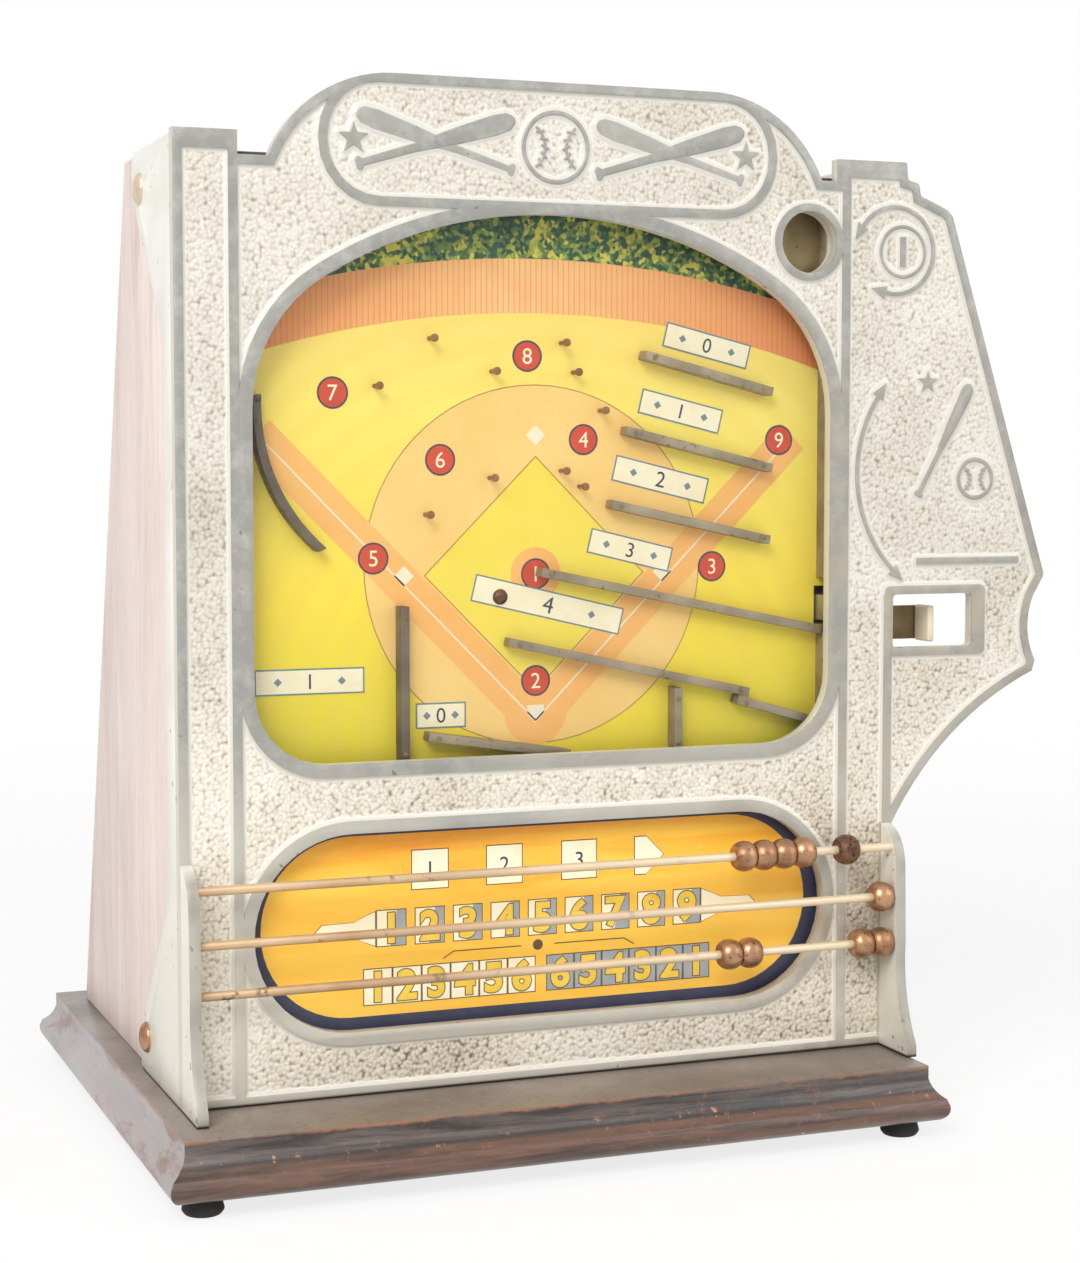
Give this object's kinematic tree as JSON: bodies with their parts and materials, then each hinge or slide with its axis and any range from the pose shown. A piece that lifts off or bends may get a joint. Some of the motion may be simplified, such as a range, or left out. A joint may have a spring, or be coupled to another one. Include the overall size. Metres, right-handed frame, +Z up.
{
  "type": "countertop coin baseball game",
  "caption": "Upright countertop coin game: cast metal front with arched playfield window, side lever and counting beads on wires, sloped wooden case with hinged back door, moulded plinth.",
  "frame": {"origin": "middle of the part's outer box, on the surface under its feet", "axes": "+X to the right seen from the front, +Y to the back, +Z up"},
  "size_m": [0.4377, 0.311, 0.473],
  "materials": {
    "dark_wood": "worn dark stain",
    "side_wood": "worn satin stain",
    "inner_wood": "plain sawn",
    "rail_wood": "weathered",
    "cast_metal": "pebbled casting",
    "brass": "dull",
    "wire_brass": "dull, worn",
    "lever_brass": "brown patina",
    "copper": "polished by handling",
    "dark_copper": "darkened",
    "steel": "dull",
    "rubber": "matte",
    "clear_glass": "clear",
    "field_print": "printed sheet",
    "card_print": "printed sheet"
  },
  "bodies": {
    "root": {"plinth": "dark_wood", "feet": "rubber", "foot_screws": "steel", "left_side": "side_wood", "right_side": "side_wood", "top_board": "inner_wood", "rear_rail": "inner_wood", "front_casting": "cast_metal", "upper_flange_screws": "brass", "lower_flange_screws": "copper", "main_glass": "clear_glass", "glass_clips": "steel", "clip_screws": "steel", "playfield_board": "inner_wood", "playfield_sheet": "field_print", "board_cleats": "inner_wood", "strike_rail": "rail_wood", "single_rail": "rail_wood", "double_rail": "rail_wood", "triple_rail": "rail_wood", "home_rail": "rail_wood", "home_step_rail": "rail_wood", "out_rail": "rail_wood", "left_fence": "rail_wood", "right_fence": "rail_wood", "curved_rail": "rail_wood", "lane_wall": "rail_wood", "field_pins": "copper", "score_card": "card_print", "score_backboard": "inner_wood", "wire_top": "wire_brass", "wire_middle": "wire_brass", "wire_bottom": "wire_brass", "pivot_pin": "steel", "pivot_bracket": "steel", "bat_spring": "steel", "spring_post": "steel", "lever_bumper": "rubber", "hinge_base_leaves": "brass", "hinge_pins": "steel", "cash_tray": "inner_wood"},
    "bat": {"bat_lever": "lever_brass", "bat_paddle": "lever_brass"},
    "door": {"back_door": "side_wood", "hinge_door_leaves": "brass", "door_lock": "brass"},
    "cam": {"lock_cam": "steel"},
    "bead_top_1": {"bead_top_1": "copper"},
    "bead_top_2": {"bead_top_2": "copper"},
    "bead_top_3": {"bead_top_3": "copper"},
    "bead_top_4": {"bead_top_4": "copper"},
    "bead_top_5": {"bead_top_5": "dark_copper"},
    "bead_middle": {"bead_middle": "copper"},
    "bead_bottom_1": {"bead_bottom_1": "copper"},
    "bead_bottom_2": {"bead_bottom_2": "copper"},
    "bead_bottom_3": {"bead_bottom_3": "copper"},
    "bead_bottom_4": {"bead_bottom_4": "copper"}
  },
  "joints": [
    {"name": "bat_pull", "type": "hinge", "parent": "root", "child": "bat", "pos_m": [0.0985, -0.07725, 0.345], "axis": [0, -1, 0], "range_deg": [0, 5], "stiffness_Nm_per_rad": 1.5, "springref_deg": -11.46, "deforming": ["bat_spring"]},
    {"name": "door_hinge", "type": "hinge", "parent": "root", "child": "door", "pos_m": [-0.033, 0.13124, 0.03978], "axis": [-1, 0, 0], "range_deg": [0, 100]},
    {"name": "cam_turn", "type": "hinge", "parent": "door", "child": "cam", "pos_m": [-0.033, -0.00265, 0.3784], "axis": [0, -0.9587, -0.2846], "range_deg": [0, 90]},
    {"name": "bead_top_4_slide", "type": "slide", "parent": "root", "child": "bead_top_4", "axis": [1, 0, 0], "range_m": [-0.06, 0]},
    {"name": "bead_top_3_slide", "type": "slide", "parent": "bead_top_4", "child": "bead_top_3", "axis": [1, 0, 0], "range_m": [-0.06, 0]},
    {"name": "bead_top_2_slide", "type": "slide", "parent": "bead_top_3", "child": "bead_top_2", "axis": [1, 0, 0], "range_m": [-0.06, 0]},
    {"name": "bead_top_1_slide", "type": "slide", "parent": "bead_top_2", "child": "bead_top_1", "axis": [1, 0, 0], "range_m": [-0.06, 0]},
    {"name": "bead_top_5_slide", "type": "slide", "parent": "root", "child": "bead_top_5", "axis": [1, 0, 0], "range_m": [-0.012, 0.018]},
    {"name": "bead_middle_slide", "type": "slide", "parent": "root", "child": "bead_middle", "axis": [1, 0, 0], "range_m": [-0.314, 0]},
    {"name": "bead_bottom_2_slide", "type": "slide", "parent": "root", "child": "bead_bottom_2", "axis": [1, 0, 0], "range_m": [-0.11, 0]},
    {"name": "bead_bottom_1_slide", "type": "slide", "parent": "bead_bottom_2", "child": "bead_bottom_1", "axis": [1, 0, 0], "range_m": [-0.115, 0]},
    {"name": "bead_bottom_4_slide", "type": "slide", "parent": "root", "child": "bead_bottom_4", "axis": [1, 0, 0], "range_m": [-0.022, 0]},
    {"name": "bead_bottom_3_slide", "type": "slide", "parent": "bead_bottom_4", "child": "bead_bottom_3", "axis": [1, 0, 0], "range_m": [-0.024, 0]}
  ]
}
